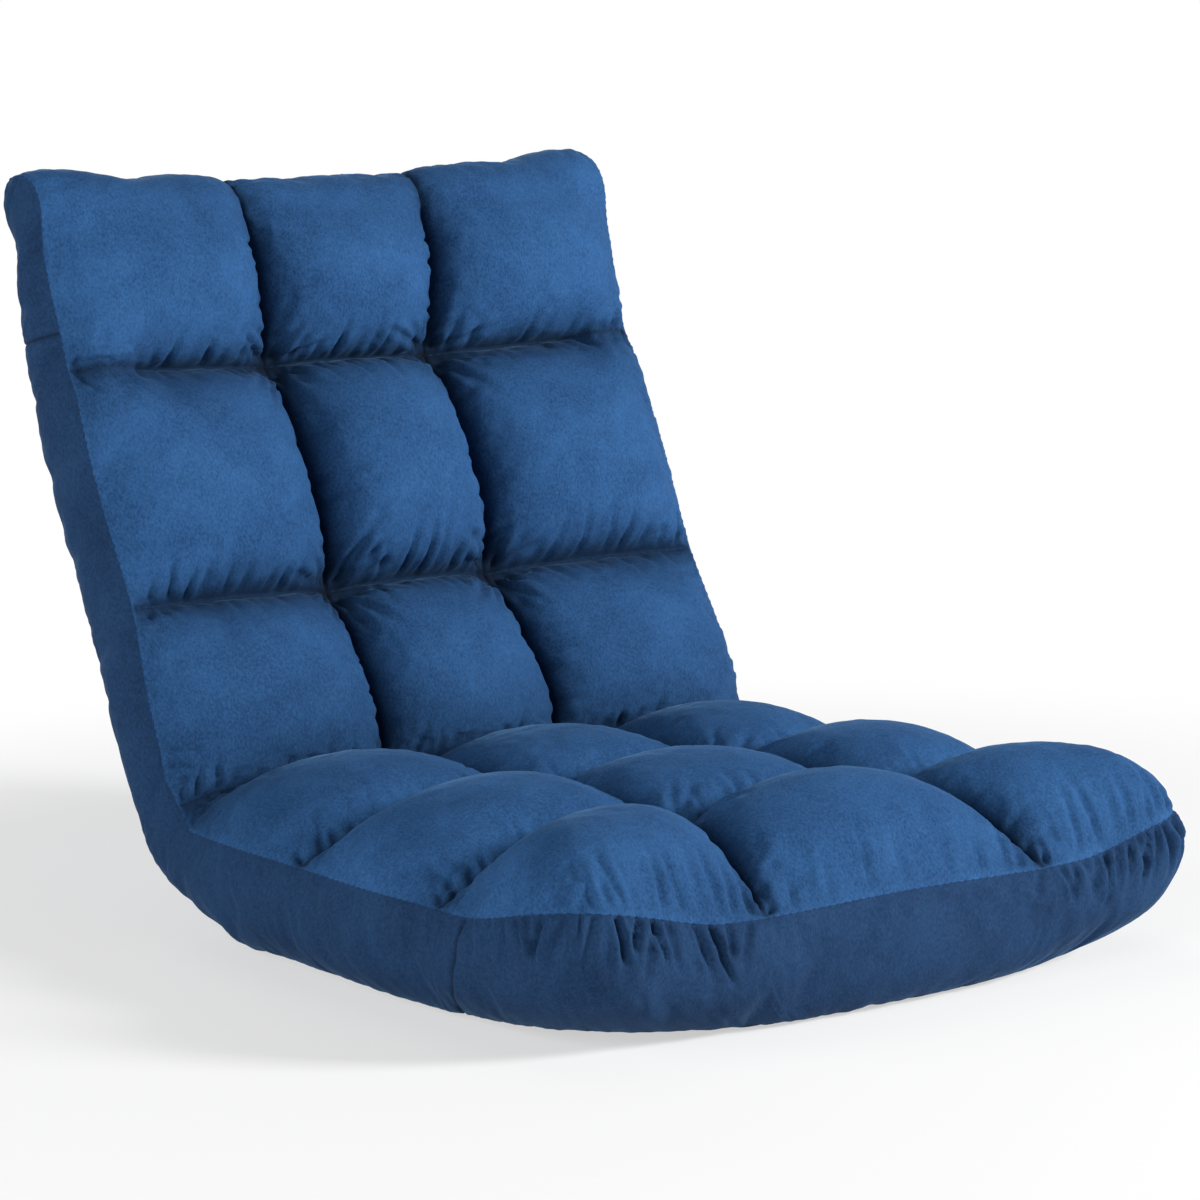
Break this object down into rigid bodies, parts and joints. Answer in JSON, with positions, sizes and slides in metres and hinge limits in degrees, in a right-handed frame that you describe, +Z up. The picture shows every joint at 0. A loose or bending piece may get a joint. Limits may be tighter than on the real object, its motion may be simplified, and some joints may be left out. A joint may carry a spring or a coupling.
{
  "type": "folding floor chair",
  "caption": "Legless tufted floor chair: thick seat pad with a reclining back and tilting head section on ratchet hinges, folds flat or closes for storage.",
  "frame": {"origin": "centre of the flat underside, on the floor", "axes": "+Z up, the front of the seat faces -Y, +X across the seat"},
  "size_m": [0.545, 0.696, 0.5201],
  "materials": {
    "velvet": "short-pile velvet",
    "underside_cloth": "non-slip dotted cloth",
    "foam": "cut polyurethane foam",
    "webbing": "woven elastic",
    "frame_paint": "powder coat",
    "hinge_steel": "zinc-plated pressing",
    "rivet_steel": "zinc plate",
    "spring_steel": "blued spring steel",
    "zip_tape": "woven tape",
    "zip_coil": "nylon coil",
    "zip_metal": "lacquered die casting"
  },
  "bodies": {
    "seat": {"back_left_gear": "hinge_steel", "back_right_gear": "hinge_steel", "heel_cover": "velvet", "heel_foam": "foam", "seat_base_foam": "foam", "seat_boxing": "velvet", "seat_cross_tubes": "frame_paint", "seat_frame_tube": "frame_paint", "seat_front_tufts": "velvet", "seat_middle_tufts": "velvet", "seat_rear_tufts": "velvet", "seat_rivets": "rivet_steel", "seat_top_foam": "foam", "seat_underside": "underside_cloth", "seat_webbing": "webbing"},
    "back": {"back_boxing": "velvet", "back_cross_tubes": "frame_paint", "back_front_foam": "foam", "back_left_axle": "rivet_steel", "back_left_fork": "hinge_steel", "back_left_pawl_pin": "rivet_steel", "back_left_pawl_spring": "spring_steel", "back_left_tube": "frame_paint", "back_lower_tufts": "velvet", "back_rear_foam": "foam", "back_rear_panel": "velvet", "back_right_axle": "rivet_steel", "back_right_fork": "hinge_steel", "back_right_pawl_pin": "rivet_steel", "back_right_pawl_spring": "spring_steel", "back_right_tube": "frame_paint", "back_rivets": "rivet_steel", "back_upper_tufts": "velvet", "back_webbing": "webbing", "head_left_gear": "hinge_steel", "head_right_gear": "hinge_steel", "neck_cover": "velvet", "neck_foam": "foam", "zip_coil": "zip_coil", "zip_tape": "zip_tape"},
    "head": {"head_cover": "velvet", "head_frame_tube": "frame_paint", "head_front_foam": "foam", "head_left_axle": "rivet_steel", "head_left_fork": "hinge_steel", "head_left_pawl_pin": "rivet_steel", "head_left_pawl_spring": "spring_steel", "head_rear_foam": "foam", "head_right_axle": "rivet_steel", "head_right_fork": "hinge_steel", "head_right_pawl_pin": "rivet_steel", "head_right_pawl_spring": "spring_steel", "head_rivets": "rivet_steel", "head_tufts": "velvet", "head_webbing": "webbing"},
    "back_left_pawl": {"back_left_pawl": "hinge_steel"},
    "back_right_pawl": {"back_right_pawl": "hinge_steel"},
    "head_left_pawl": {"head_left_pawl": "hinge_steel"},
    "head_right_pawl": {"head_right_pawl": "hinge_steel"},
    "zip_slider": {"zip_slider": "zip_metal"}
  },
  "joints": [
    {"name": "back_fold", "type": "hinge", "parent": "seat", "child": "back", "pos_m": [0, 0.2505, 0.077], "axis": [1, 0, 0], "range_deg": [-64, 89.6], "deforming": ["seat_rear_tufts", "back_lower_tufts", "heel_cover"]},
    {"name": "head_tilt", "type": "hinge", "parent": "back", "child": "head", "pos_m": [0, 0.39516, 0.3736], "axis": [-1, 0, 0], "range_deg": [-77, 14], "deforming": ["neck_cover"]},
    {"name": "back_left_pawl_turn", "type": "hinge", "parent": "back", "child": "back_left_pawl", "pos_m": [0.218, 0.27531, 0.1005], "axis": [-1, 0, 0], "range_deg": [-7.5, 5], "stiffness_Nm_per_rad": 0.05, "deforming": ["back_left_pawl_spring"]},
    {"name": "back_right_pawl_turn", "type": "hinge", "parent": "back", "child": "back_right_pawl", "pos_m": [-0.218, 0.27531, 0.1005], "axis": [-1, 0, 0], "range_deg": [-7.5, 5], "stiffness_Nm_per_rad": 0.05, "deforming": ["back_right_pawl_spring"]},
    {"name": "head_left_pawl_turn", "type": "hinge", "parent": "head", "child": "head_left_pawl", "pos_m": [0.218, 0.41355, 0.40241], "axis": [-1, 0, 0], "range_deg": [-7.5, 5], "stiffness_Nm_per_rad": 0.05, "deforming": ["head_left_pawl_spring"]},
    {"name": "head_right_pawl_turn", "type": "hinge", "parent": "head", "child": "head_right_pawl", "pos_m": [-0.218, 0.41355, 0.40241], "axis": [-1, 0, 0], "range_deg": [-7.5, 5], "stiffness_Nm_per_rad": 0.05, "deforming": ["head_right_pawl_spring"]},
    {"name": "zip_slide", "type": "slide", "parent": "back", "child": "zip_slider", "axis": [1, 0, 0], "range_m": [-0.288, 0]}
  ],
  "couplings": [
    {"joint": "back_right_pawl_turn", "follows": "back_left_pawl_turn", "ratio": 1},
    {"joint": "head_right_pawl_turn", "follows": "head_left_pawl_turn", "ratio": 1}
  ]
}
